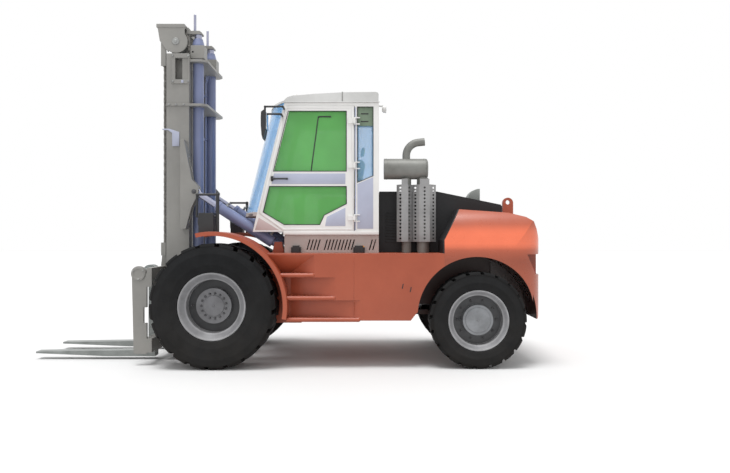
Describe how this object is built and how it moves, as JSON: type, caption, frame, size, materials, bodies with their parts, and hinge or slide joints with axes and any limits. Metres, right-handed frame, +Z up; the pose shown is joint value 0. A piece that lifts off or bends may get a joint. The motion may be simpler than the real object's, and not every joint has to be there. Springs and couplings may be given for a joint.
{
  "type": "rough terrain forklift",
  "caption": "Diesel rough terrain forklift with a tall two-stage mast, shaft-hung forks, glazed cab, big lugged drive tyres and a cast counterweight over the steered axle.",
  "frame": {"origin": "on the ground under the middle of the overall length and width", "axes": "+X forward to the fork tips, +Y to the machine's left, +Z up"},
  "size_m": [6.358, 2.5, 4.444],
  "materials": {
    "body_paint": "semi-gloss orange paint",
    "axle_iron": "dark painted castings",
    "bare_steel": "worn bare steel",
    "hood_paint": "satin black paint",
    "exhaust_steel": "dull aluminised steel",
    "plinth_paint": "warm grey paint",
    "cab_paint": "off-white paint",
    "screen_glass": "clear glass",
    "door_glass": "green tinted glass",
    "seat_cover": "padded cover",
    "black_plastic": "black plastic and powder coat",
    "lamp_lens": "red lens",
    "mast_paint": "warm grey paint",
    "cylinder_paint": "blue-grey paint",
    "rod_chrome": "hard chrome",
    "chain_steel": "oiled leaf chain",
    "fork_steel": "forged steel",
    "tyre_rubber": "black rubber",
    "rim_paint": "grey paint"
  },
  "bodies": {
    "chassis": {"chassis_frame": "body_paint", "front_fenders": "body_paint", "front_axle": "axle_iron", "rear_axle": "axle_iron", "counterweight": "body_paint", "lifting_eye": "body_paint", "engine_block": "axle_iron", "hood_sides": "hood_paint", "muffler": "exhaust_steel", "exhaust_pipes": "exhaust_steel", "exhaust_guards": "exhaust_steel", "cab_plinth": "plinth_paint", "cab_mounts": "black_plastic", "cab_floor": "plinth_paint", "cab_side_left": "cab_paint", "cab_side_right": "cab_paint", "cab_rear_wall": "cab_paint", "cab_roof": "cab_paint", "windscreen": "screen_glass", "cab_glass": "screen_glass", "seat": "seat_cover", "console": "black_plastic", "steering_wheel": "black_plastic", "mirrors": "black_plastic", "headlamps": "black_plastic", "tail_lamps": "lamp_lens"},
    "hood": {"hood_lid": "hood_paint"},
    "door": {"door_frame": "cab_paint", "door_handle": "black_plastic", "door_glass": "door_glass"},
    "mast_outer": {"outer_uprights": "mast_paint", "outer_ties": "mast_paint", "lift_barrels": "cylinder_paint"},
    "mast_inner": {"inner_uprights": "mast_paint", "mast_head": "mast_paint", "chain_sheaves": "bare_steel", "lift_rods": "rod_chrome", "lift_chains": "chain_steel"},
    "carriage": {"carriage_frame": "mast_paint", "fork_shaft": "bare_steel", "forks": "fork_steel"},
    "tilt_barrel": {"tilt_barrels": "cylinder_paint"},
    "tilt_rod": {"tilt_rods": "rod_chrome"},
    "steer_left": {"knuckle_left": "axle_iron"},
    "steer_right": {"knuckle_right": "axle_iron"},
    "wheel_front_left": {"front_tyre_left": "tyre_rubber", "front_rim_left": "rim_paint"},
    "wheel_front_right": {"front_tyre_right": "tyre_rubber", "front_rim_right": "rim_paint"},
    "wheel_rear_left": {"rear_tyre_left": "tyre_rubber", "rear_rim_left": "rim_paint"},
    "wheel_rear_right": {"rear_tyre_right": "tyre_rubber", "rear_rim_right": "rim_paint"}
  },
  "joints": [
    {"name": "mast_tilt", "type": "hinge", "parent": "chassis", "child": "mast_outer", "pos_m": [1.118, 0, 0.6], "axis": [0, 1, 0], "range_deg": [-10, 6]},
    {"name": "mast_lift", "type": "slide", "parent": "mast_outer", "child": "mast_inner", "axis": [0, 0, 1], "range_m": [0, 2.1]},
    {"name": "carriage_lift", "type": "slide", "parent": "mast_inner", "child": "carriage", "axis": [0, 0, 1], "range_m": [0, 2.1]},
    {"name": "tilt_barrel_swing", "type": "hinge", "parent": "chassis", "child": "tilt_barrel", "pos_m": [0.058, 0, 1.45], "axis": [0, 1, 0], "range_deg": [-7, 4.5]},
    {"name": "tilt_rod_slide", "type": "slide", "parent": "tilt_barrel", "child": "tilt_rod", "axis": [0.8378, 0, 0.5461], "range_m": [-0.24, 0.15]},
    {"name": "steer_left", "type": "hinge", "parent": "chassis", "child": "steer_left", "pos_m": [-2.379, 0.72, 0.575], "axis": [0, 0, 1], "range_deg": [-35, 35]},
    {"name": "steer_right", "type": "hinge", "parent": "chassis", "child": "steer_right", "pos_m": [-2.379, -0.72, 0.575], "axis": [0, 0, 1], "range_deg": [-35, 35]},
    {"name": "wheel_front_left", "type": "hinge", "parent": "chassis", "child": "wheel_front_left", "pos_m": [0.771, 0.99, 0.745], "axis": [0, 1, 0], "continuous": true},
    {"name": "wheel_front_right", "type": "hinge", "parent": "chassis", "child": "wheel_front_right", "pos_m": [0.771, -0.99, 0.745], "axis": [0, 1, 0], "continuous": true},
    {"name": "wheel_rear_left", "type": "hinge", "parent": "steer_left", "child": "wheel_rear_left", "pos_m": [-2.379, 0.975, 0.575], "axis": [0, 1, 0], "continuous": true},
    {"name": "wheel_rear_right", "type": "hinge", "parent": "steer_right", "child": "wheel_rear_right", "pos_m": [-2.379, -0.975, 0.575], "axis": [0, 1, 0], "continuous": true},
    {"name": "cab_door", "type": "hinge", "parent": "chassis", "child": "door", "pos_m": [-0.901, 0.79, 2.4], "axis": [0, 0, 1], "range_deg": [0, 90]},
    {"name": "hood_lid", "type": "hinge", "parent": "chassis", "child": "hood", "pos_m": [-2.794, 0, 1.96], "axis": [0, -1, 0], "range_deg": [0, 55]}
  ],
  "couplings": [
    {"joint": "carriage_lift", "follows": "mast_lift", "ratio": 1},
    {"joint": "tilt_barrel_swing", "follows": "mast_tilt", "ratio": 0.675},
    {"joint": "tilt_rod_slide", "follows": "mast_tilt", "m_per_rad": 1.3},
    {"joint": "steer_right", "follows": "steer_left", "ratio": 1}
  ]
}
